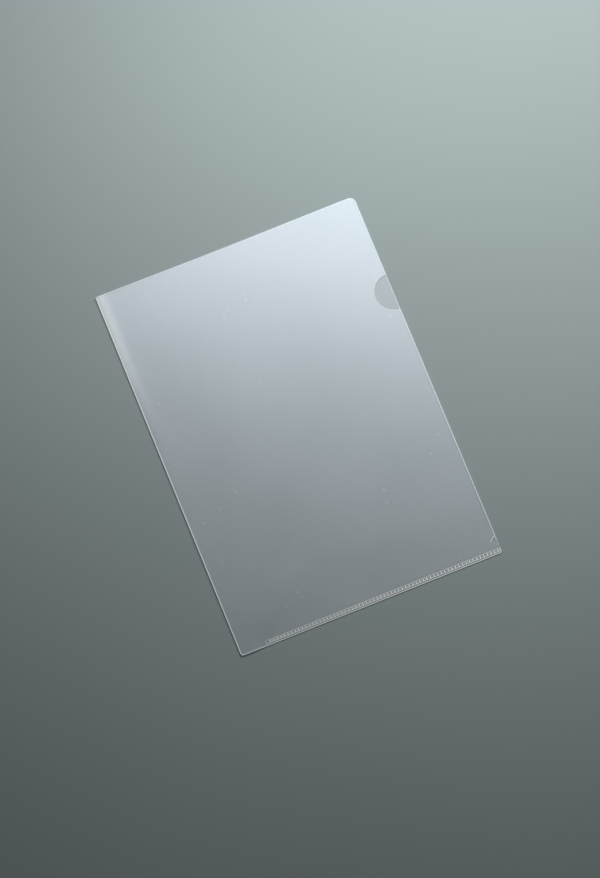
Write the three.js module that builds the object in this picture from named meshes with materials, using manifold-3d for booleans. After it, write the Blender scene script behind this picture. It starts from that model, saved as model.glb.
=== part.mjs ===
// Clear A4 L-shaped document folder: one thin polypropylene film, folded down its left side,
// ultrasonically welded along the bottom and open at the top and the right.
// Units are millimetres. X runs across the folder, Y up its length and Z through its thickness.
// The origin is the middle of the back face, on the surface that the folder lies on.
import * as THREE from "three";
import { mergeVertices } from "three/addons/utils/BufferGeometryUtils.js";
import Module from "manifold-3d";

// Sheet sizes
const folderWidth = 220;
const folderHeight = 310;
const filmThickness = 0.2;
const pocketGap = 0.6;

// Corner radii, as the folder lies with its fold on the left
const openCornerRadius = 5;
const foldTopRadius = 1.2;
const foldHeelRadius = 2.5;
const weldCornerRadius = 2;

// Half-round thumb cut in the front sheet
const thumbCutRadius = 15;
const thumbCutFromTop = 83.7;

// Ribbed weld
const weldLip = 1.6;
const weldWidth = 2.7;
const weldStart = 22;
const weldValley = 0.28;
const weldRail = 0.3;
const ribPitch = 1.5;
const endBar = 0.6;

// The front sheet climbs from the weld to the full pocket gap over this length
const shoulderLength = 6.7;
const shoulderSteps = 8;

// Stress relief notch at the open end of the weld, in the front sheet
const notchHeight = 7.8;
const notchDepth = 4.7;
const notchTipRadius = 0.8;

// The free part of the front sheet lifts about one line, from beside the fold to the notch
const liftFromFold = 4;
const liftClearance = 0.3;

// Facets
const cornerSegments = 10;
const thumbSegments = 40;
const foldSegments = 14;

// How far a cutting shape runs past the film, and how close two points count as one
const pastTheEdge = 5;
const samePoint = 1e-4;

// Places worked out from the sizes, with x from the fold and y from the bottom edge
const foldOuterRadius = filmThickness + pocketGap / 2;
const foldInnerRadius = pocketGap / 2;
const frontBottomZ = filmThickness + pocketGap;
const frontTopZ = frontBottomZ + filmThickness;
const weldTopY = weldLip + weldWidth;
const notchTipX = folderWidth - notchDepth;
const notchTipY = weldTopY + shoulderLength;
const shoulderX = weldStart - shoulderLength;
const thumbCutY = folderHeight - thumbCutFromTop;

const wasm = await Module();
wasm.setup();

// A closed three.js geometry as a solid for joining and cutting
function solidOf(geometry) {
  const plain = geometry.clone();
  plain.deleteAttribute("normal");
  plain.deleteAttribute("uv");
  const merged = mergeVertices(plain, samePoint);
  return new wasm.Manifold(
    new wasm.Mesh({
      numProp: 3,
      vertProperties: merged.attributes.position.array,
      triVerts: new Uint32Array(merged.index.array),
    }),
  );
}

// A solid as a three.js geometry
function geometryOf(solid) {
  const mesh = solid.getMesh();
  const geometry = new THREE.BufferGeometry();
  geometry.setAttribute("position", new THREE.BufferAttribute(mesh.vertProperties, 3));
  geometry.setIndex(new THREE.BufferAttribute(mesh.triVerts, 1));
  geometry.computeVertexNormals();
  return geometry;
}

// A flat plate of the given outline between two heights
function plate(shape, lowZ, highZ, curveSegments = cornerSegments) {
  const geometry = new THREE.ExtrudeGeometry(shape, {
    depth: highZ - lowZ,
    bevelEnabled: false,
    curveSegments,
  });
  return solidOf(geometry.translate(0, 0, lowZ));
}

function polygon(points) {
  return new THREE.Shape(points.map(([x, y]) => new THREE.Vector2(x, y)));
}

function rectangle(lowX, lowY, highX, highY) {
  return polygon([
    [lowX, lowY],
    [highX, lowY],
    [highX, highY],
    [lowX, highY],
  ]);
}

// The folder's outline in plan, with each corner's own radius
function folderOutline() {
  const shape = new THREE.Shape();
  const quarter = Math.PI / 2;
  shape.absarc(foldHeelRadius, foldHeelRadius, foldHeelRadius, 2 * quarter, 3 * quarter);
  shape.absarc(
    folderWidth - weldCornerRadius, weldCornerRadius, weldCornerRadius, 3 * quarter, 4 * quarter,
  );
  shape.absarc(
    folderWidth - openCornerRadius, folderHeight - openCornerRadius, openCornerRadius, 0, quarter,
  );
  shape.absarc(foldTopRadius, folderHeight - foldTopRadius, foldTopRadius, quarter, 2 * quarter);
  return shape;
}

// Everything inside the folder's outline, to trim a piece to it
function withinOutline() {
  return plate(folderOutline(), -pastTheEdge, frontTopZ + pastTheEdge);
}

// The strip that the weld takes out of both sheets
function weldSlot() {
  const slot = rectangle(weldStart, weldLip, folderWidth + pastTheEdge, weldTopY);
  return plate(slot, -pastTheEdge, frontTopZ + pastTheEdge);
}

// The half-round bite that bares the back sheet for the thumb
function thumbCut() {
  const circle = new THREE.Shape();
  circle.absarc(folderWidth, thumbCutY, thumbCutRadius, 0, 2 * Math.PI);
  return plate(circle, 0, frontTopZ + pastTheEdge, thumbSegments);
}

// A wedge with a round tip. Its sides leave the tip's circle along the tangents from each lip.
function reliefNotch() {
  const tipX = notchTipX + notchTipRadius;
  const reach = Math.hypot(notchDepth - notchTipRadius, notchHeight / 2);
  const sideAngle =
    Math.atan2(notchHeight / 2, notchDepth - notchTipRadius) - Math.asin(notchTipRadius / reach);
  const outX = folderWidth + pastTheEdge;
  const rise = notchTipRadius / Math.cos(sideAngle) + (outX - tipX) * Math.tan(sideAngle);
  const tangent = Math.PI / 2 + sideAngle;
  const shape = new THREE.Shape();
  shape.moveTo(outX, notchTipY - rise);
  shape.lineTo(outX, notchTipY + rise);
  shape.absarc(tipX, notchTipY, notchTipRadius, tangent, 2 * Math.PI - tangent);
  return plate(shape, 0, frontTopZ + pastTheEdge);
}

// The free part of the front sheet, right of a line parallel to the lift line. The notch is
// open at the height of its tip, so the straight lower side of this region cuts no film.
const liftStart = new THREE.Vector2(liftFromFold, folderHeight);
const liftEnd = new THREE.Vector2(notchTipX, notchTipY);
const alongLift = liftEnd.clone().sub(liftStart).normalize();
const acrossLift = new THREE.Vector2(-alongLift.y, alongLift.x);

function freeRegion(distance) {
  const start = liftStart.clone().addScaledVector(acrossLift, distance);
  const lineX = (y) => start.x + ((y - start.y) * alongLift.x) / alongLift.y;
  const outX = folderWidth + pastTheEdge;
  const outY = folderHeight + pastTheEdge;
  const shape = polygon([
    [lineX(notchTipY), notchTipY],
    [outX, notchTipY],
    [outX, outY],
    [lineX(outY), outY],
  ]);
  return plate(shape, 0, frontTopZ + pastTheEdge);
}

// Back sheet: flat film from the fold to the open edge, lying on the table
function backSheet() {
  const film = plate(rectangle(foldOuterRadius, 0, folderWidth, folderHeight), 0, filmThickness);
  return film.intersect(withinOutline()).subtract(weldSlot());
}

// Fold: a half round of film that joins the two sheets down the left side
function spineFold() {
  const quarter = Math.PI / 2;
  const profile = new THREE.Shape();
  profile.absarc(foldOuterRadius, foldOuterRadius, foldOuterRadius, quarter, 3 * quarter);
  profile.absarc(foldOuterRadius, foldOuterRadius, foldInnerRadius, 3 * quarter, quarter, true);
  const geometry = new THREE.ExtrudeGeometry(profile, {
    depth: folderHeight,
    bevelEnabled: false,
    curveSegments: foldSegments,
  });
  geometry.rotateX(quarter).translate(0, folderHeight, 0);
  return solidOf(geometry).intersect(withinOutline());
}

// How far the underside of the front sheet has climbed off the weld at a point
function shoulderHeight(x, y) {
  const away = Math.hypot(Math.max(0, weldStart - x), Math.max(0, y - weldTopY));
  return filmThickness + pocketGap * THREE.MathUtils.smoothstep(away, 0, shoulderLength);
}

function steps(from, to, count) {
  return Array.from({ length: count + 1 }, (_, i) => from + ((to - from) * i) / count);
}

// A film over a grid of places, its underside at the height that a function gives
function filmOverGrid(xs, ys, undersideAt) {
  const columns = xs.length;
  const layer = columns * ys.length;
  const positions = [];
  for (const lift of [0, filmThickness])
    for (const y of ys) for (const x of xs) positions.push(x, y, undersideAt(x, y) + lift);
  const index = [];
  const quad = (a, b, c, d) => index.push(a, b, c, a, c, d);
  for (let j = 0; j + 1 < ys.length; j++)
    for (let i = 0; i + 1 < columns; i++) {
      const a = j * columns + i;
      quad(a, a + columns, a + columns + 1, a + 1);
      quad(layer + a, layer + a + 1, layer + a + columns + 1, layer + a + columns);
    }
  const last = (ys.length - 1) * columns;
  for (let i = 0; i + 1 < columns; i++) {
    quad(i, i + 1, layer + i + 1, layer + i);
    quad(last + i + 1, last + i, layer + last + i, layer + last + i + 1);
  }
  for (let j = 0; j + 1 < ys.length; j++) {
    const left = j * columns;
    const right = left + columns - 1;
    quad(left + columns, left, layer + left, layer + left + columns);
    quad(right, right + columns, layer + right + columns, layer + right);
  }
  const geometry = new THREE.BufferGeometry();
  geometry.setAttribute("position", new THREE.Float32BufferAttribute(positions, 3));
  geometry.setIndex(index);
  return solidOf(geometry);
}

// All of the front film, from the fold to the open edge, with its foot pressed onto the weld
function frontFilm() {
  const xs = [foldOuterRadius, ...steps(shoulderX, weldStart, shoulderSteps), folderWidth];
  const ys = [0, weldLip, ...steps(weldTopY, notchTipY, shoulderSteps), folderHeight];
  const film = filmOverGrid(xs, ys, shoulderHeight);
  return film.intersect(withinOutline()).subtract(weldSlot()).subtract(reliefNotch());
}

// The front film over one rectangle of its plan
function partOf(film, lowX, lowY, highX, highY) {
  const box = plate(rectangle(lowX, lowY, highX, highY), 0, frontTopZ + pastTheEdge);
  return film.intersect(box);
}

// Front lip: the film's flat edge below the weld
function frontLip(film) {
  return partOf(film, weldStart, -pastTheEdge, folderWidth + pastTheEdge, weldLip);
}

// Front foot: the film's climb from the weld to the full pocket gap
function frontFoot(film) {
  return partOf(film, weldStart, weldTopY, folderWidth + pastTheEdge, notchTipY);
}

// Front heel: the end of that climb, where it turns round the plain end of the weld
function frontHeel(film) {
  return partOf(film, shoulderX, -pastTheEdge, weldStart, notchTipY);
}

// Front sheet: the flat part beside the fold, down to the unwelded corner
function frontSheet(film) {
  const climb = rectangle(shoulderX, -pastTheEdge, folderWidth + pastTheEdge, notchTipY);
  const flat = film.subtract(plate(climb, 0, frontTopZ + pastTheEdge));
  return flat.subtract(freeRegion(-liftClearance / 2));
}

// Front flap: the free part, which lifts at the open corner and has the thumb cut in its side
function frontFlap(film) {
  return film.intersect(freeRegion(liftClearance / 2)).subtract(thumbCut());
}

// Weld: both films fused into one bar, pressed into pointed cross ribs between two plain rails
// and ended by a plain bar
function weldSeam() {
  const ribTop = 2 * filmThickness;
  const firstRib = weldStart + endBar + ribPitch / 2;
  const ribCount = Math.floor((folderWidth - firstRib) / ribPitch);
  const profile = new THREE.Shape();
  profile.moveTo(weldStart, 0);
  profile.lineTo(folderWidth, 0);
  profile.lineTo(folderWidth, weldValley);
  for (let rib = ribCount; rib > 0; rib--) {
    profile.lineTo(firstRib + rib * ribPitch, weldValley);
    profile.lineTo(firstRib + (rib - 0.5) * ribPitch, ribTop);
  }
  profile.lineTo(firstRib, weldValley);
  profile.lineTo(weldStart + endBar, ribTop);
  profile.lineTo(weldStart, ribTop);
  const geometry = new THREE.ExtrudeGeometry(profile, { depth: weldWidth, bevelEnabled: false });
  geometry.rotateX(Math.PI / 2).translate(0, weldTopY, 0);
  const rail = (lowY) =>
    plate(rectangle(weldStart, lowY, folderWidth, lowY + weldRail), 0, ribTop);
  const seam = solidOf(geometry).add(rail(weldLip)).add(rail(weldTopY - weldRail));
  return seam.intersect(withinOutline());
}

function filmMaterial(color, roughness, opacity) {
  const settings = { color, roughness, opacity, metalness: 0, transparent: true };
  return new THREE.MeshStandardMaterial(settings);
}

function piece(name, solid, material) {
  const mesh = new THREE.Mesh(geometryOf(solid), material);
  mesh.name = name;
  return mesh;
}

const front = frontFilm();
const folder = new THREE.Group();
folder.add(piece("back_sheet", backSheet(), filmMaterial(0xd3dcde, 0.14, 0.3)));
folder.add(piece("spine_fold", spineFold(), filmMaterial(0xe9eff0, 0.25, 0.5)));
folder.add(piece("front_sheet", frontSheet(front), filmMaterial(0xdbe4e6, 0.12, 0.3)));
folder.add(piece("front_heel", frontHeel(front), filmMaterial(0xdde5e7, 0.14, 0.32)));
folder.add(piece("front_foot", frontFoot(front), filmMaterial(0xe0e7e8, 0.16, 0.35)));
folder.add(piece("front_lip", frontLip(front), filmMaterial(0xe3e9ea, 0.18, 0.35)));
folder.add(piece("weld_seam", weldSeam(), filmMaterial(0xd9dedb, 0.45, 0.7)));

// The flap hangs in a group on the lift line, at the middle of its length.
const hinge = liftStart.clone().lerp(liftEnd, 0.5);
const lift = new THREE.Group();
lift.position.set(hinge.x, hinge.y, frontTopZ);
const flap = piece("front_flap", frontFlap(front), filmMaterial(0xdfe7e9, 0.12, 0.3));
flap.geometry.translate(-hinge.x, -hinge.y, -frontTopZ);
lift.add(flap);
folder.add(lift);

// The model's origin is in the middle of the folder, so it is shifted by half its size.
folder.position.set(-folderWidth / 2, -folderHeight / 2, 0);
const part = new THREE.Group();
part.add(folder);
export default part;
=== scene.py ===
"""Clear A4 document folder, dressed around its CAD frame.

Shapes are worked out in millimetres, x from the fold and y from the bottom edge, as in the
CAD source, and turned into the frame's metres when a mesh is made.
"""

import math

import bpy
import numpy as np
from mathutils import Matrix, Vector
from mathutils.geometry import delaunay_2d_cdt


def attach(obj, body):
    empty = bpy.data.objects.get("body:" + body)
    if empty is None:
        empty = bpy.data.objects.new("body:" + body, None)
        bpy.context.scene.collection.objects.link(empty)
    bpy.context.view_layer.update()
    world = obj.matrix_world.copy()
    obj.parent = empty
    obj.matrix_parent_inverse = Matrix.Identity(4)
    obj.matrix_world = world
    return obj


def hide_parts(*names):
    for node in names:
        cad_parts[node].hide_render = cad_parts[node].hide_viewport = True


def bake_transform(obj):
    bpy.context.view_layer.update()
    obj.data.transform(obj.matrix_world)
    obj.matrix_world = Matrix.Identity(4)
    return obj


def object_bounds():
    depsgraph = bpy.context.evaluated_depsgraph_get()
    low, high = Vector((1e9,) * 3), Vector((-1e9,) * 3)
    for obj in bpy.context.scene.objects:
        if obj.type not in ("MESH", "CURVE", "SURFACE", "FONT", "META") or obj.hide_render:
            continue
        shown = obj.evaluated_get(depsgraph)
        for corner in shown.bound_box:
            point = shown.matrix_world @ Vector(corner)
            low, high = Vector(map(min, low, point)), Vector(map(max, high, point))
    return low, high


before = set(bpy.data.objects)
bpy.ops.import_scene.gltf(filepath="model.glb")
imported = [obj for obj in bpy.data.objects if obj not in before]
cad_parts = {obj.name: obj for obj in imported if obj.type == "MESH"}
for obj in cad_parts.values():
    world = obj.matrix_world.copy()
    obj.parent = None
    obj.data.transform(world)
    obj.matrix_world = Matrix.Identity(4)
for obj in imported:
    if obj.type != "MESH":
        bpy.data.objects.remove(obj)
cad_box = [list(corner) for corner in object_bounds()]

# Sizes in millimetres: width and height are the frame's, the rest are as in the CAD source
WIDTH, HEIGHT = (round(1000 * (cad_box[1][axis] - cad_box[0][axis]), 2) for axis in (0, 1))
FILM, POCKET = 0.2, 0.6
FOLD_INNER = POCKET / 2
FOLD_OUTER = FILM + FOLD_INNER
OPEN_CORNER, FOLD_TOP, FOLD_HEEL, WELD_CORNER = 5.0, 1.2, 2.5, 2.0
THUMB_RADIUS, THUMB_FROM_TOP = 15.0, 83.7
THUMB_Y = HEIGHT - THUMB_FROM_TOP
WELD_LIP, WELD_WIDTH, WELD_START = 1.6, 2.7, 22.0
WELD_TOP = WELD_LIP + WELD_WIDTH
WELD_VALLEY, WELD_RAIL, RIB_PITCH, END_BAR = 0.28, 0.3, 1.5, 0.6
SHOULDER = 6.7
NOTCH_HEIGHT, NOTCH_DEPTH, NOTCH_TIP = 7.8, 4.7, 0.8
NOTCH_Y = WELD_TOP + SHOULDER

# Edges sharper than this aren't shaded as round, and places nearer than this are the same
SHARP_EDGE = math.radians(40)
NEAR = 0.01


def ramp(value, start, length):
    """0 up to start, rising smoothly to 1 over length."""
    t = np.clip((value - start) / length, 0.0, 1.0)
    return t * t * (3 - 2 * t)


def to_frame(points):
    """Millimetres from the folder's lower left corner to the frame's metres."""
    points = np.asarray(points, float)
    return (points - np.array((WIDTH / 2, HEIGHT / 2, 0.0))) * 0.001


def new_piece(name, points, faces, material, uv=None, values=None):
    """A mesh object in the frame's metres. uv and values are per point, and uv is in sheet
    heights: the place on the sheet, unless it is given."""
    mesh = bpy.data.meshes.new(name)
    mesh.from_pydata([tuple(p) for p in to_frame(points)], [], faces)
    mesh.validate()
    if uv is None:
        uv = points[:, :2] / HEIGHT
    corners = np.empty(len(mesh.loops), int)
    mesh.loops.foreach_get("vertex_index", corners)
    layer = mesh.uv_layers.new(name="sheet")
    layer.data.foreach_set("uv", uv[corners].astype(np.float32).ravel())
    for key, numbers in (values or {}).items():
        attribute = mesh.attributes.new(key, "FLOAT", "POINT")
        attribute.data.foreach_set("value", np.asarray(numbers, np.float32))
    mesh.polygons.foreach_set("use_smooth", [True] * len(mesh.polygons))
    mesh.set_sharp_from_angle(angle=SHARP_EDGE)
    mesh.update()
    obj = bpy.data.objects.new(name, mesh)
    bpy.context.scene.collection.objects.link(obj)
    mesh.materials.append(material)
    return obj


def corner_reach(radius):
    """How far above its lowest point a round corner meets the side of the fold."""
    return math.sqrt(radius**2 - (radius - FOLD_OUTER) ** 2)


# Where the round corners at the fold's foot and head pass from the fold to the flat sheets
FOOT_Y = FOLD_HEEL - corner_reach(FOLD_HEEL)
HEAD_Y = HEIGHT - FOLD_TOP + corner_reach(FOLD_TOP)

# The sheets' outlines: the dip of the front sheet's top edge, and the mesh's steps along an
# edge and over the middle
SAG, SAG_START, SAG_WIDTH = 0.8, 12.0, 196.0
EDGE_STEP, GRID = 3.0, 4.0


def arc(cx, cy, radius, start, end, steps):
    """Points of an arc, angles in degrees."""
    angles = np.radians(np.linspace(start, end, steps + 1))
    return [(cx + radius * math.cos(a), cy + radius * math.sin(a)) for a in angles]


def notch_points():
    """The relief notch, from its lower lip round its tip to its upper lip."""
    tip_x = WIDTH - NOTCH_DEPTH + NOTCH_TIP
    depth, half = NOTCH_DEPTH - NOTCH_TIP, NOTCH_HEIGHT / 2
    slope = math.atan2(half, depth) - math.asin(NOTCH_TIP / math.hypot(depth, half))
    side = math.degrees(slope)
    tip = arc(tip_x, NOTCH_Y, NOTCH_TIP, 270 - side, 90 + side, steps=10)
    return [(WIDTH, NOTCH_Y - half)] + tip + [(WIDTH, NOTCH_Y + half)]


def weld_slot():
    """The corner below the weld, then the slot that the weld fills, open at the right edge."""
    stop = 360 - math.degrees(math.asin((WELD_CORNER - WELD_LIP) / WELD_CORNER))
    corner = arc(WIDTH - WELD_CORNER, WELD_CORNER, WELD_CORNER, 270, stop, steps=7)
    return corner + [(WELD_START, WELD_LIP), (WELD_START, WELD_TOP), (WIDTH, WELD_TOP)]


def top_sag(x):
    """How far the front sheet's top edge dips below the back sheet's."""
    share = min(max((x - SAG_START) / SAG_WIDTH, 0), 1)
    return SAG * math.sin(math.pi * share) ** 2


def sheet_outline(front):
    """The outline of one sheet, anticlockwise from the foot of the fold."""
    foot_turn = math.degrees(math.acos((FOLD_HEEL - FOLD_OUTER) / FOLD_HEEL))
    head_turn = math.degrees(math.acos((FOLD_TOP - FOLD_OUTER) / FOLD_TOP))
    points = [(FOLD_OUTER, FOOT_Y)]
    points += arc(FOLD_HEEL, FOLD_HEEL, FOLD_HEEL, 180 + foot_turn, 270, steps=5)[1:]
    points += weld_slot()
    if front:
        points += notch_points()
        points += arc(WIDTH, THUMB_Y, THUMB_RADIUS, 270, 90, steps=48)
    corner = OPEN_CORNER
    points += arc(WIDTH - corner, HEIGHT - corner, corner, 0, 90, steps=14)
    if front:
        dip = np.arange(WIDTH - 3 * corner, 2 * FOLD_TOP, -GRID)
        points += [(x, HEIGHT - top_sag(x)) for x in dip]
    points += arc(FOLD_TOP, HEIGHT - FOLD_TOP, FOLD_TOP, 90, 180 - head_turn, steps=4)[:-1]
    return points + [(FOLD_OUTER, HEAD_Y)]


def divided(points, longest):
    """The same outline with its long sides cut into equal lengths."""
    out = []
    for a, b in zip(points, points[1:] + points[:1]):
        a, b = np.array(a), np.array(b)
        count = max(1, math.ceil(np.linalg.norm(b - a) / longest))
        out += [tuple(a + (b - a) * i / count) for i in range(count)]
    return np.array(out)


def inset(ring, distance):
    """The ring moved inwards along the mean of its two sides' normals, by the distance to each
    side, and at a sharp corner by twice the distance at most."""
    ahead = np.roll(ring, -1, axis=0) - ring
    ahead /= np.linalg.norm(ahead, axis=1)[:, None]
    behind = np.roll(ahead, 1, axis=0)
    normal = np.stack((-(ahead + behind)[:, 1], (ahead + behind)[:, 0]), 1)
    normal /= np.linalg.norm(normal, axis=1)[:, None]
    square_on = np.stack((-ahead[:, 1], ahead[:, 0]), 1)
    cosine = np.maximum(np.abs((normal * square_on).sum(1)), 0.5)
    return ring + normal * (distance / cosine)[:, None]


# The front film takes a small quick step off the weld and climbs the rest slowly: over 10 mm
# beside the fold, and over 36 mm more from 70 mm off it
STEP_REACH, STEP_SHARE = 1.8, 0.12
CLIMB_BY_FOLD, CLIMB_MORE, CLIMB_FULL_FROM = 10.0, 36.0, 70.0

# The soft roll beside the upper fold, whose crest is 3.2 mm off it, and how it grows upwards
ROLL_HEIGHT, ROLL_FROM_FOLD = 0.30, 3.2
ROLL_START, ROLL_GROWTH = 60.0, 200.0

# Height and length of each wave of the ripple, its heading in degrees and its phase, and over
# how much film beside the fold the ripple grows
RIPPLES = (
    (0.030, 118.0, 24.0, 0.6),
    (0.022, 83.0, 102.0, 2.1),
    (0.010, 55.0, 61.0, 4.0),
    (0.004, 33.0, 148.0, 1.3),
)
RIPPLE_GROWTH = 25.0


def ripple(x, y):
    """The slow unevenness of a film that has been rolled, cut and stacked."""
    total = np.zeros_like(x)
    for height, length, heading, phase in RIPPLES:
        a = math.radians(heading)
        along = x * math.cos(a) + y * math.sin(a)
        total += height * np.sin(2 * math.pi * along / length + phase)
    return total


def front_height(x, y):
    """Underside of the front sheet: up off the weld, with a soft roll beside the fold."""
    away = np.hypot(np.maximum(0, WELD_START - x), np.maximum(0, y - WELD_TOP))
    slow = CLIMB_BY_FOLD + CLIMB_MORE * ramp(x, 0, CLIMB_FULL_FROM)
    step, rest = ramp(away, 0, STEP_REACH), ramp(away, 0, slow)
    climb = STEP_SHARE * step + (1 - STEP_SHARE) * rest
    reach = np.maximum(x - FOLD_OUTER, 0) / ROLL_FROM_FOLD
    roll = ROLL_HEIGHT * reach * np.exp(1 - reach) * ramp(y, ROLL_START, ROLL_GROWTH)
    uneven = ripple(x, y) * ramp(x, FOLD_OUTER, RIPPLE_GROWTH) * climb
    return FILM + POCKET * climb + roll + uneven


def back_height(x, y):
    """Underside of the back sheet, flat on the table."""
    return np.zeros_like(x)


# How wide the white rim of a cut edge is, its white partly frost and partly a painted glow: narrow
# along the weld, at the weld's open end and at the fold's head, and wider with the distance from
# there
RIM, BOTTOM_RIM, WELD_RIM, HEAD_RIM = 0.75, 0.85, 0.1, 0.2
WIDENS_FROM_WELD, WIDENS_FROM_HEAD = 0.6, 0.25

# How far round the corners the bottom edge and the top edge count as such
BOTTOM_BAND, TOP_BAND = 0.5, 2.0

# How white the cut edges are, from 0 to 1: partly frost and partly a painted glow, strong along
# the bottom and faint along the top. The open side fades upwards, and the left end of the front's
# dipping top edge shows more than the rest of the top.
BOTTOM_FROST_AND_GLOW, FOLD_WHITENING_AND_HIGHLIGHT, TOP_FROST_AND_GLOW, THUMB_FROST_AND_GLOW, LIP_FROST_AND_GLOW = 1.0, 0.85, 0.12, 0.30, 0.35
SIDE_FADE, SIDE_FADE_START, SIDE_FADE_LENGTH = 0.6, 60.0, 220.0
DIP_FROST_AND_GLOW, DIP_FADE_START, DIP_FADE_LENGTH = 0.25, 40.0, 60.0

# Where the film beside the upper fold is whitened by a painted sheen, which grows towards the top
SHEEN_BAND_START, SHEEN_BAND_WIDTH = 1.0, 10.0
SHEEN_BAND_FOOT, SHEEN_BAND_GROWTH = 190.0, 90.0

# The mesh's extra columns beside the fold and extra rows above the weld, and the space that its
# rows and columns keep from the rim and the weld
BESIDE_FOLD = (1.4, 2.8, 4.4, 6.2, 8.4, 11.0, 14.4)
ABOVE_WELD = (1.0, 1.4, 1.8, 3.0, 4.5, 6.5, 9.0, 12.0)
OFF_RIM = 0.9


def on_weld(ring):
    """Which points of the ring lie along the weld."""
    x, y = ring[:, 0], ring[:, 1]
    return (x > WELD_START - NEAR) & (y > WELD_LIP - NEAR) & (y < WELD_TOP + NEAR)


def rim_width(ring):
    """How wide the rim band is at each point of the ring."""
    x, y = ring[:, 0], ring[:, 1]
    from_head = np.hypot(x - FOLD_OUTER, y - HEIGHT)
    below, above = np.hypot(x - WIDTH, y - WELD_LIP), np.hypot(x - WIDTH, y - WELD_TOP)
    from_weld = np.minimum(below, above)
    rim = np.where(y < BOTTOM_BAND, BOTTOM_RIM, RIM)
    rim = np.minimum(rim, HEAD_RIM + WIDENS_FROM_HEAD * from_head)
    rim = np.minimum(rim, WELD_RIM + WIDENS_FROM_WELD * from_weld)
    return np.where(on_weld(ring), WELD_RIM, rim)


def edge_frost_and_glow(ring, dipping):
    """How white each point of the cut edge is, with frost and a painted glow. The first stretch
    that it lies on counts.
    """
    x, y = ring[:, 0], ring[:, 1]
    from_thumb_cut = np.abs(np.hypot(x - WIDTH, y - THUMB_Y) - THUMB_RADIUS)
    open_side = x > WIDTH - OPEN_CORNER
    below_notch = open_side & (y > WELD_TOP + NEAR) & (y < NOTCH_Y - NOTCH_TIP / 2)
    faded = SIDE_FADE * ramp(y, SIDE_FADE_START, SIDE_FADE_LENGTH)
    dip = dipping * DIP_FROST_AND_GLOW * (1 - ramp(x, DIP_FADE_START, DIP_FADE_LENGTH))
    stretches = (
        (on_weld(ring), 0.0),
        (below_notch, np.where(x < WIDTH - NEAR, 0.0, LIP_FROST_AND_GLOW)),
        (from_thumb_cut < NEAR, THUMB_FROST_AND_GLOW),
        (y > HEIGHT - TOP_BAND, TOP_FROST_AND_GLOW + dip),
        (open_side, BOTTOM_FROST_AND_GLOW - faded),
        (x < FOLD_OUTER + NEAR, FOLD_WHITENING_AND_HIGHLIGHT),
    )
    places, amounts = zip(*stretches)
    return np.select(places, amounts, default=BOTTOM_FROST_AND_GLOW)


def grid_inside(inner):
    """Points over the middle of a sheet, clear of its rim and of the weld's slot."""
    xs = np.unique(np.r_[np.arange(GRID / 2, WIDTH, GRID), BESIDE_FOLD])
    ys = np.unique(np.r_[np.arange(GRID / 2, HEIGHT, GRID), np.add(WELD_TOP, ABOVE_WELD)])
    grid = np.array([(x, y) for y in ys for x in xs])
    gap = np.linalg.norm(grid[:, None, :] - inner[None, :, :], axis=2).min(1)
    beside_weld = (grid[:, 0] > WELD_START - OFF_RIM) & (grid[:, 1] < WELD_TOP + OFF_RIM)
    return grid[(gap > OFF_RIM) & ~beside_weld]


def triangulated(inner, grid):
    """Triangles, turning left, that fill a closed outline and meet at the grid's points: the
    places of their corners, the outline's first, and three of their numbers to a triangle."""
    count = len(inner)
    loop = [(i, (i + 1) % count) for i in range(count)]
    points = [Vector(p) for p in np.r_[inner, grid]]
    points, _, cells, *_ = delaunay_2d_cdt(points, loop, [], 1, 1e-5)
    used = np.unique(cells)
    renumbered = {int(old): new for new, old in enumerate(used)}
    points = np.array([tuple(p) for p in points])[used]
    return points, [[renumbered[i] for i in cell] for cell in cells]


def film_mesh(name, outline, height, material, dipping):
    """A sheet of film over an outline: fine inside, with a rim band along every cut edge."""
    ring = divided(outline, EDGE_STEP)
    inner = inset(ring, rim_width(ring))
    middle, cells = triangulated(inner, grid_inside(inner))
    plan = np.r_[ring, middle]
    x, y = plan[:, 0], plan[:, 1]
    count, total = len(ring), len(plan)
    faces = []
    for cell in cells:
        faces.append([total + count + i for i in cell])
        faces.append([count + i for i in cell[::-1]])
    for i in range(count):
        j = (i + 1) % count
        faces.append([total + i, total + j, total + count + j, total + count + i])
        faces.append([j, i, count + i, count + j])
        faces.append([i, j, total + j, total + i])
    under = height(x, y)
    points = np.r_[np.c_[plan, under], np.c_[plan, under + FILM]]
    cut = np.r_[edge_frost_and_glow(ring, dipping), np.zeros(len(middle))]
    # A painted sheen beside the upper fold, growing towards the top
    fold_sheen = (1 - ramp(x, SHEEN_BAND_START, SHEEN_BAND_WIDTH)) * ramp(y, SHEEN_BAND_FOOT, SHEEN_BAND_GROWTH)
    values = {"cut": np.r_[cut, cut], "fold_sheen": np.r_[fold_sheen, fold_sheen]}
    return new_piece(name, points, faces, material, values=values)


def shell_faces(rows, columns):
    """Faces of a closed slab from two layers of points, each given row by row. From outside,
    the first layer shows its columns to the right and its rows upwards."""
    layer = rows * columns
    faces = []
    for r in range(rows - 1):
        for c in range(columns - 1):
            a = r * columns + c
            b = a + layer
            faces.append((a, a + 1, a + columns + 1, a + columns))
            faces.append((b, b + columns, b + columns + 1, b + 1))
    for c in range(columns - 1):
        a = (rows - 1) * columns + c
        faces.append((c, c + layer, c + 1 + layer, c + 1))
        faces.append((a, a + 1, a + 1 + layer, a + layer))
    for r in range(rows - 1):
        a, b = r * columns, (r + 1) * columns - 1
        faces.append((a, a + columns, a + columns + layer, a + layer))
        faces.append((b, b + layer, b + columns + layer, b + columns))
    return faces


# The fold's mesh: steps round it, about how much film one step takes, and the least film left
# where a corner trims it
FOLD_STEPS, FOLD_STEP_LENGTH, FOLD_WEB = 18, 0.09, 0.12

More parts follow.
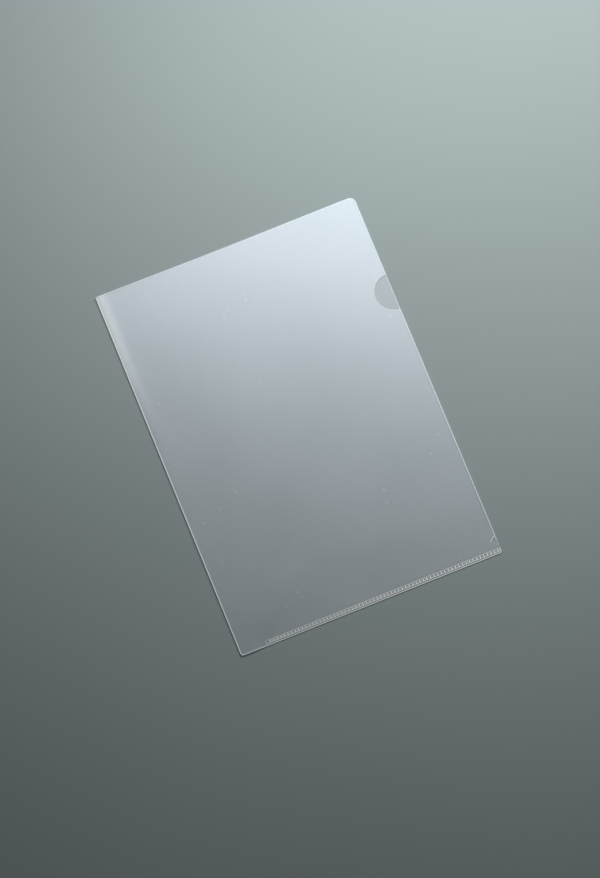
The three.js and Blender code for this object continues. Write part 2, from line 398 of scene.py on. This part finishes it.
# Its rows lie closer near both ends. They start and stop just short of the corners' points.
FOLD_ROWS, FOOT_ROWS, HEAD_ROWS = 153, 9, 7
FOLD_ROWS_START, FOLD_ROWS_STOP = 4.0, HEIGHT - 3.0
FOOT_ROWS_STOP, HEAD_ROWS_START = 3.0, HEIGHT - 1.5
SHORT_OF_FOOT, SHORT_OF_HEAD = 0.07, 0.04


def corner_tuck(y):
    """How far the round corners at the fold's foot and head cut it back."""
    for radius, past in ((FOLD_HEEL, FOLD_HEEL - y), (FOLD_TOP, y - HEIGHT + FOLD_TOP)):
        if past > 0:
            return radius - math.sqrt(max(radius**2 - past**2, 0))
    return 0.0


def fold_mesh(material):
    """The half round of film down the left side, trimmed to the sheets' round corners."""
    foot = np.linspace(FOOT_Y + SHORT_OF_FOOT, FOOT_ROWS_STOP, FOOT_ROWS)
    middle = np.linspace(FOLD_ROWS_START, FOLD_ROWS_STOP, FOLD_ROWS)
    head = np.linspace(HEAD_ROWS_START, HEAD_Y - SHORT_OF_HEAD, HEAD_ROWS)
    ys = np.r_[foot, middle, head]
    tuck = np.array([corner_tuck(y) for y in ys])
    steps = np.arange(FOLD_STEPS + 1)
    swing = math.pi * steps / FOLD_STEPS
    layers = []
    for radius, web in ((FOLD_INNER, FOLD_WEB), (FOLD_OUTER, 0.0)):
        least = (tuck + web * (tuck > 0))[:, None]
        x = FOLD_OUTER + radius * np.cos(math.pi / 2 + swing)
        x = np.minimum(np.maximum(x, least), FOLD_OUTER)
        z = FOLD_OUTER + radius * np.sin(math.pi / 2 + swing)
        layers.append(np.stack(np.broadcast_arrays(x, ys[:, None], z), 2).reshape(-1, 3))
    u, v = np.meshgrid((steps - FOLD_STEPS) * FOLD_STEP_LENGTH / HEIGHT, ys / HEIGHT)
    uv = np.tile(np.c_[u.ravel(), v.ravel()], (2, 1))
    # The fold's white, whitest along its outer crown, is partly stress whitening and partly a
    # painted highlight
    frost = FOLD_WHITENING_AND_HIGHLIGHT + (1 - FOLD_WHITENING_AND_HIGHLIGHT) * np.sin(swing)
    cut = np.tile(frost, 2 * len(ys))
    faces = shell_faces(len(ys), len(steps))
    return new_piece("fold_film", np.concatenate(layers), faces, material, uv, {"cut": cut})


# The weld's mesh: places across the end bar and across a rail, as shares of each, and steps
# to a rib
BAR_PLACES, RAIL_PLACES = (0, 0.2, 0.5, 0.8, 1.0), (0, 0.3, 0.8, 1.0, 1.3)
RIB_STEPS = 8

# The weld's form: how broad a rib's crest is, how much of its foot stays in the valley, and
# where the bar and the rails pass into the ribs, as shares of their width
RIB_BREADTH, RIB_FOOT = 1.9, 0.12
BAR_SLOPE, RAIL_SLOPE_START, RAIL_SLOPE = 0.2, 0.8, 0.4

# How white the weld is, from 0 to 1: its ribs, how much they fade to the right and how far they
# differ by turns, its rails, its last bit at the open edge and its underside
RIB_FROST, RIB_FADE, RIB_UNEVEN, RIB_SEED = 0.82, 0.06, 0.28, 5
RAIL_FROST, OPEN_END_SHARE, UNDERSIDE_SHARE = 0.8, 0.8, 0.5
OPEN_END, OPEN_END_SLOPE = 0.6, 0.2


def rib_frosts(ribs):
    """How white each rib's crest is: strong and faint by turns, fading a little to the right."""
    uneven = np.random.default_rng(RIB_SEED).uniform(0.6, 1.0, ribs) * RIB_UNEVEN
    mean = RIB_FROST - RIB_FADE * np.arange(ribs) / ribs
    return np.where(np.arange(ribs) % 2, mean + uneven, mean - uneven)


def weld_mesh(material):
    """The ribbed weld: rounded cross ribs between two rails, ended by a plain bar."""
    first = WELD_START + END_BAR + RIB_PITCH / 2
    ribs = int((WIDTH - first) / RIB_PITCH)
    bar_xs = WELD_START + END_BAR * np.array(BAR_PLACES)
    rib_xs = first + RIB_PITCH * (np.arange(ribs)[:, None] + np.arange(RIB_STEPS) / RIB_STEPS)
    rail = WELD_RAIL * np.array(RAIL_PLACES)
    ys = np.r_[WELD_LIP + rail, WELD_LIP + WELD_WIDTH / 2, WELD_TOP - rail[::-1]]
    x, y = np.meshgrid(np.r_[bar_xs, rib_xs.ravel(), WIDTH], ys)

    phase = np.clip((x - first) / RIB_PITCH, 0, ribs)
    swell = 0.5 - 0.5 * np.cos(2 * math.pi * phase)
    on_rib = ramp(RIB_BREADTH * swell, RIB_FOOT, 1)
    on_bar = 1 - ramp(x - WELD_START, (1 - BAR_SLOPE) * END_BAR, BAR_SLOPE * END_BAR)
    from_side = np.minimum(y - WELD_LIP, WELD_TOP - y)
    on_rail = 1 - ramp(from_side / WELD_RAIL, RAIL_SLOPE_START, RAIL_SLOPE)
    crest = np.maximum(np.maximum(on_rib, on_bar), on_rail)
    top = WELD_VALLEY + (2 * FILM - WELD_VALLEY) * crest

    ribbed = on_rib * rib_frosts(ribs)[np.minimum(phase.astype(int), ribs - 1)]
    open_end = OPEN_END_SHARE * ramp(x - WIDTH, -OPEN_END, OPEN_END_SLOPE)
    railed = RAIL_FROST * np.maximum(on_rail, open_end)
    frost = np.maximum(np.maximum(ribbed, on_bar), railed)

    drop = np.maximum(WELD_CORNER - y, 0)
    corner = WIDTH - WELD_CORNER + np.sqrt(np.maximum(WELD_CORNER**2 - drop**2, 0))
    x = np.minimum(x, corner)
    high = np.c_[x.ravel(), y.ravel(), top.ravel()]
    low = np.c_[x.ravel(), y.ravel(), np.zeros(x.size)]
    frost = np.r_[frost.ravel(), UNDERSIDE_SHARE * frost.ravel()]
    faces = shell_faces(*x.shape)
    return new_piece("weld_film", np.r_[high, low], faces, material, values={"frost": frost})


# Colours, the depth of the relief in gloss in metres, and how much each flaw and the painted sheen
# beside the upper fold whiten the film
SHEET_TINT, SHEET_HAZE = (0.985, 0.99, 0.99, 1), (0.88, 0.93, 0.95, 1)
FOLD_TINT, FOLD_HAZE = (0.97, 0.98, 0.98, 1), (0.94, 0.96, 0.96, 1)
# The weld's see-through tint is darker than the sheets', a painted shade for the valleys between
# its ribs
WELD_TINT_AND_SHADE, WELD_HAZE = (0.74, 0.76, 0.76, 1), (0.94, 0.955, 0.95, 1)
SHEEN_BAND_COLOUR, FILM_GLOSS, WELD_GLOSS = (0.92, 0.96, 0.94, 1), (0.85, 0.905, 1.0, 1), (1, 1, 1, 1)
FLOOR_COLOUR = (0.335, 0.385, 0.38)
RELIEF = 0.0002
SPECKS, SHORT_SCRATCHES, LONG_SCRATCHES, SHEEN_BAND_WHITE = 0.30, 0.18, 0.10, 0.24


class Nodes:
    """Adds nodes to a material's tree and links them in one call."""

    def __init__(self, name):
        self.material = bpy.data.materials.new(name)
        self.material.use_nodes = True
        self.tree = self.material.node_tree
        self.tree.nodes.clear()

    def add(self, kind, inputs=None, **settings):
        node = self.tree.nodes.new(kind)
        for key, value in settings.items():
            setattr(node, key, value)
        for key, value in (inputs or {}).items():
            socket = node.inputs[key]
            if isinstance(value, bpy.types.NodeSocket):
                self.tree.links.new(value, socket)
            else:
                socket.default_value = value
        return node

    def calculate(self, operation, a, b, clamp=False):
        settings = {"operation": operation, "use_clamp": clamp}
        return self.add("ShaderNodeMath", {0: a, 1: b}, **settings).outputs[0]

    def total(self, a, b, clamp=False):
        return self.calculate("ADD", a, b, clamp)

    def product(self, a, b, clamp=False):
        return self.calculate("MULTIPLY", a, b, clamp)

    def remap(self, value, low, high, to_low=0.0, to_high=1.0):
        span = {"From Min": low, "From Max": high, "To Min": to_low, "To Max": to_high}
        settings = {"interpolation_type": "SMOOTHSTEP"}
        return self.add("ShaderNodeMapRange", {"Value": value, **span}, **settings).outputs[0]

    def vary(self, noise, amount, reach=0.2):
        """A factor that follows a noise, from 1 - amount to 1 + amount."""
        return self.remap(noise, 0.5 - reach, 0.5 + reach, 1 - amount, 1 + amount)

    def blend_colours(self, share, first, second):
        """The Mix node's colour sockets are told apart by number, because names repeat."""
        inputs = {0: share, 6: first, 7: second}
        return self.add("ShaderNodeMix", inputs, data_type="RGBA").outputs[2]

    def mix_shaders(self, share, first, second):
        return self.add("ShaderNodeMixShader", {0: share, 1: first, 2: second}).outputs[0]

    def attribute(self, name):
        return self.add("ShaderNodeAttribute", attribute_name=name).outputs["Fac"]

    def millimetres(self, turn=0.0, stretch=(1.0, 1.0)):
        """The place on the sheet in millimetres, turned and stretched for marks with a heading."""
        place = self.add("ShaderNodeUVMap", uv_map="sheet").outputs[0]
        turning = {"Vector": place, "Rotation": (0, 0, math.radians(turn))}
        turned = self.add("ShaderNodeMapping", turning).outputs[0]
        scaling = {"Vector": turned, "Scale": (HEIGHT * stretch[0], HEIGHT * stretch[1], 1.0)}
        return self.add("ShaderNodeMapping", scaling).outputs[0]

    def noise(self, vector, scale, detail=2.0, roughness=0.5):
        inputs = {"Vector": vector, "Scale": scale, "Detail": detail, "Roughness": roughness}
        return self.add("ShaderNodeTexNoise", inputs).outputs[0]

    def marks(self, turn, stretch, spacing, size, share):
        """Sparse short scratches or specks: 1 on a mark and 0 elsewhere."""
        vector = self.millimetres(turn, stretch)
        inputs = {"Vector": vector, "Scale": 1 / spacing, "Randomness": 1.0}
        cells = self.add("ShaderNodeTexVoronoi", inputs, voronoi_dimensions="2D")
        near = self.remap(cells.outputs["Distance"], size * 0.4, size, 1.0, 0.0)
        pick = self.add("ShaderNodeSeparateColor", {0: cells.outputs["Color"]}).outputs[0]
        chosen = self.calculate("LESS_THAN", pick, share)
        return self.product(near, chosen)

    def mirror_share(self, head_on):
        """How much the film mirrors: head_on where it is seen square on, and all at a graze."""
        facing = self.add("ShaderNodeLayerWeight", {"Blend": 0.5}).outputs["Facing"]
        steep = self.calculate("POWER", facing, 5.0)
        return self.total(self.product(steep, 1 - head_on), head_on)

    def clear(self, colour):
        return self.add("ShaderNodeBsdfTransparent", {"Color": colour}).outputs[0]

    def diffuse(self, colour, roughness):
        inputs = {"Color": colour, "Roughness": roughness}
        return self.add("ShaderNodeBsdfDiffuse", inputs).outputs[0]

    def gloss(self, colour, roughness, height, strength):
        """A mirroring coat over a fine relief, whose height is a number over the surface."""
        relief = {"Height": height, "Strength": strength, "Distance": RELIEF}
        bump = self.add("ShaderNodeBump", relief).outputs[0]
        inputs = {"Color": colour, "Roughness": roughness, "Normal": bump}
        return self.add("ShaderNodeBsdfGlossy", inputs).outputs[0]

    def finish(self, shader):
        out = self.add("ShaderNodeOutputMaterial")
        self.tree.links.new(shader, out.inputs["Surface"])
        return self.material


def clear_film(name, tint, haze_colour, haze, roughness, edge_haze_and_glow, seed, head_on):
    """Polypropylene film: clear, faintly milky, softly glossy, white on its cut edges with frost
    and a painted glow, and whitened beside the upper fold by a painted sheen. The seed gives each
    sheet its own places and headings of cloud and marks."""
    n = Nodes(name)
    here = n.millimetres()
    cloud = n.noise(here, 0.016 + 0.002 * seed)
    grain = n.noise(here, 1.7, detail=3.0, roughness=0.6)
    haze_and_sheen = n.product(n.product(n.vary(cloud, 0.12), n.vary(grain, 0.15)), haze)
    # A painted sheen whitens the film beside the upper fold
    fold_sheen = n.attribute("fold_sheen")
    haze_and_sheen = n.total(haze_and_sheen, n.product(fold_sheen, SHEEN_BAND_WHITE))

    specks = n.marks(11 + 40 * seed, stretch=(1.0, 1.0), spacing=14.0, size=0.035, share=0.12)
    short = n.marks(62 + 55 * seed, stretch=(0.16, 1.5), spacing=15.0, size=0.035, share=0.11)
    long = n.marks(140 + 30 * seed, stretch=(0.05, 1.2), spacing=24.0, size=0.016, share=0.12)
    marks = n.total(n.product(specks, SPECKS), n.product(short, SHORT_SCRATCHES))
    marks = n.total(marks, n.product(long, LONG_SCRATCHES))

    # The cut edges' rim: partly frost and partly a painted glow
    rim = n.product(n.remap(n.attribute("cut"), 0.0, 0.6), edge_haze_and_glow)
    amount = n.total(n.total(haze_and_sheen, marks), rim, clamp=True)
    milk_and_painted_light = n.diffuse(n.blend_colours(fold_sheen, haze_colour, SHEEN_BAND_COLOUR), roughness=0.4)
    body = n.mix_shaders(amount, n.clear(tint), milk_and_painted_light)
    rough = n.remap(grain, 0.25, 0.75, roughness * 0.88, roughness * 1.12)
    gloss = n.gloss(FILM_GLOSS, rough, grain, strength=0.05)
    return n.finish(n.mix_shaders(n.mirror_share(head_on), body, gloss))


def welded_film(name):
    """The weld: white frosted rib crests with clearer film pressed between them, darkened there by
    a painted shade.
    """
    n = Nodes(name)
    grain = n.noise(n.millimetres(), 2.6, detail=3.0, roughness=0.6)
    frost = n.remap(n.attribute("frost"), 0.25, 0.9, 0.08, 0.97)
    frost = n.product(frost, n.vary(grain, 0.2, reach=0.25), clamp=True)
    body = n.mix_shaders(frost, n.clear(WELD_TINT_AND_SHADE), n.diffuse(WELD_HAZE, roughness=0.5))
    rough = n.remap(grain, 0.2, 0.8, 0.50, 0.64)
    gloss = n.gloss(WELD_GLOSS, rough, grain, strength=0.25)
    mirrored = n.product(n.mirror_share(head_on=0.22), n.remap(frost, 0.0, 1.0, 0.25, 1.0))
    return n.finish(n.mix_shaders(mirrored, body, gloss))


def floor_material():
    """A plain pale grey-green surface with the faintest unevenness."""
    n = Nodes("pale_floor")
    place = n.add("ShaderNodeTexCoord").outputs["Object"]
    inputs = {0: FLOOR_COLOUR, "Scale": n.vary(n.noise(place, 1.5), 0.03)}
    colour = n.add("ShaderNodeVectorMath", inputs, operation="SCALE").outputs[0]
    return n.finish(n.diffuse(colour, roughness=0.6))


sheet = {"tint": SHEET_TINT, "haze_colour": SHEET_HAZE, "roughness": 0.38, "edge_haze_and_glow": 0.95}
front_material = clear_film("front_film_clear", haze=0.110, seed=0, head_on=0.060, **sheet)
back_material = clear_film("back_film_clear", haze=0.100, seed=1, head_on=0.03, **sheet)
creased = {"tint": FOLD_TINT, "haze_colour": FOLD_HAZE, "roughness": 0.22, "edge_haze_and_glow": 0.85}
fold_material = clear_film("fold_film_clear", haze=0.10, seed=2, head_on=0.045, **creased)
weld_material = welded_film("weld_frosted")

front_outline, back_outline = sheet_outline(front=True), sheet_outline(front=False)
front = film_mesh("front_film", front_outline, front_height, front_material, dipping=True)
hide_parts("front_sheet", "front_heel", "front_foot", "front_lip", "front_flap")
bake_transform(front)

back = film_mesh("back_film", back_outline, back_height, back_material, dipping=False)
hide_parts("back_sheet")
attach(back, "folder")

fold = fold_mesh(fold_material)
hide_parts("spine_fold")
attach(fold, "folder")

weld = weld_mesh(weld_material)
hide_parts("weld_seam")
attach(weld, "folder")

# The floor, in metres
FLOOR_HALF, FLOOR_DROP = 20.0, 0.0002

# The way up in the photograph, along the floor
UPWARDS = Vector((0.373, 0.928, 0.0)).normalized()

# The soft light, in metres: its near edge lies up the picture, to the side and above the floor,
# and from there it slopes down, by an angle in degrees
KEY_REACH, KEY_SIDE, KEY_HEIGHT, KEY_SLOPE = 0.207, 0.17, 0.5, 20.0
KEY_WIDTH, KEY_DEPTH = 0.80, 0.40

# How bright the soft light's face and the sky are
KEY_GLOW, KEY_COLOUR = 5.0, (0.97, 0.985, 1.0)
SKY_GLOW, SKY_COLOUR = 0.10, (0.80, 0.84, 0.86, 1)

# The photograph's view, fitted to the folder's four corners: the place on the floor that it
# looks at and the distance from there, in metres
CAMERA_AIM, CAMERA_DISTANCE = (-0.00264, -0.01136, 0.0), 4.71351

# The camera's angles in degrees, off straight down, round the upright and about its own line
# of sight, and its lens and sensor in millimetres
CAMERA_TILT, CAMERA_TURN, CAMERA_ROLL = 12.096, -19.791, -2.226
CAMERA_LENS, CAMERA_SENSOR = 246.01, 36.0
SIGHT_LIMIT = 200.0


def add_floor():
    mesh = bpy.data.meshes.new("floor")
    signs = ((-1, -1), (1, -1), (1, 1), (-1, 1))
    corners = [(FLOOR_HALF * x, FLOOR_HALF * y, -FLOOR_DROP) for x, y in signs]
    mesh.from_pydata(corners, [], [(0, 1, 2, 3)])
    floor = bpy.data.objects.new("floor", mesh)
    bpy.context.scene.collection.objects.link(floor)
    mesh.materials.append(floor_material())


def add_key():
    """The soft light beyond the top of the picture. Its near edge is where the flat film mirrors
    it to the camera a little above the folder's middle, so the reflection fades downwards."""
    side = UPWARDS.cross(Vector((0, 0, 1)))
    near_edge = UPWARDS * KEY_REACH + side * KEY_SIDE + Vector((0, 0, KEY_HEIGHT))
    slope = math.radians(KEY_SLOPE)
    away = UPWARDS * math.cos(slope) - Vector((0, 0, math.sin(slope)))
    light = bpy.data.lights.new("key_softbox", "AREA")
    light.shape = "RECTANGLE"
    light.size = KEY_WIDTH
    light.size_y = KEY_DEPTH
    light.energy = KEY_GLOW * math.pi * KEY_WIDTH * KEY_DEPTH
    light.color = KEY_COLOUR
    obj = bpy.data.objects.new("key_softbox", light)
    turn = Matrix((side, away, side.cross(away))).transposed()
    obj.matrix_world = Matrix.Translation(near_edge + away * (KEY_DEPTH / 2)) @ turn.to_4x4()
    obj.visible_camera = False
    bpy.context.scene.collection.objects.link(obj)


def add_world():
    world = bpy.data.worlds.new("studio")
    bpy.context.scene.world = world
    world.use_nodes = True
    background = world.node_tree.nodes["Background"]
    background.inputs["Color"].default_value = SKY_COLOUR
    background.inputs["Strength"].default_value = SKY_GLOW


def add_camera():
    """The camera stands straight above its aim, and is then rolled, tilted and turned round it."""
    camera = bpy.data.cameras.new("camera")
    camera.sensor_width = CAMERA_SENSOR
    camera.lens = CAMERA_LENS
    camera.clip_end = SIGHT_LIMIT
    obj = bpy.data.objects.new("camera", camera)
    place = Matrix.Translation(CAMERA_AIM)
    for degrees, axis in ((CAMERA_TURN, "Z"), (CAMERA_TILT, "X"), (CAMERA_ROLL, "Z")):
        place = place @ Matrix.Rotation(math.radians(degrees), 4, axis)
    obj.matrix_world = place @ Matrix.Translation((0, 0, CAMERA_DISTANCE))
    bpy.context.scene.collection.objects.link(obj)
    bpy.context.scene.camera = obj


add_floor()
add_key()
add_world()
add_camera()

bpy.context.scene.view_settings.view_transform = "Standard"
